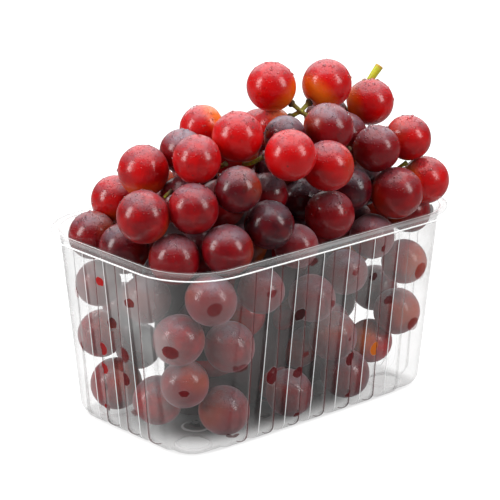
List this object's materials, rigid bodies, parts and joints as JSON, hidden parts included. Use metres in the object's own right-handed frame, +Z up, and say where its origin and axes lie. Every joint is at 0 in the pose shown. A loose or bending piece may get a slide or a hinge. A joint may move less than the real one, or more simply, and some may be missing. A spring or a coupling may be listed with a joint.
{
  "type": "punnet of grapes",
  "caption": "Clear ribbed plastic tray, open at the top and heaped above its rim with red table grapes on their forked stalks.",
  "frame": {"origin": "middle of the tray's floor, on its underside, which is also the bottom centre of the whole", "axes": "+X along the tray's long side, +Y across it, +Z up out of the open top"},
  "size_m": [0.1858, 0.121, 0.165],
  "materials": {
    "clear_plastic": "clear thin thermoformed sheet, slightly hazy and misted, glossy",
    "berry_skin": "smooth wet fruit skin, red to dark maroon, with pale bloom",
    "stalk": "matt fresh stalk, olive green with brown knobs"
  },
  "bodies": {
    "root": {"tray": "clear_plastic", "grapes": "berry_skin", "stalk_fork": "stalk", "stalk_end": "stalk"}
  },
  "joints": []
}
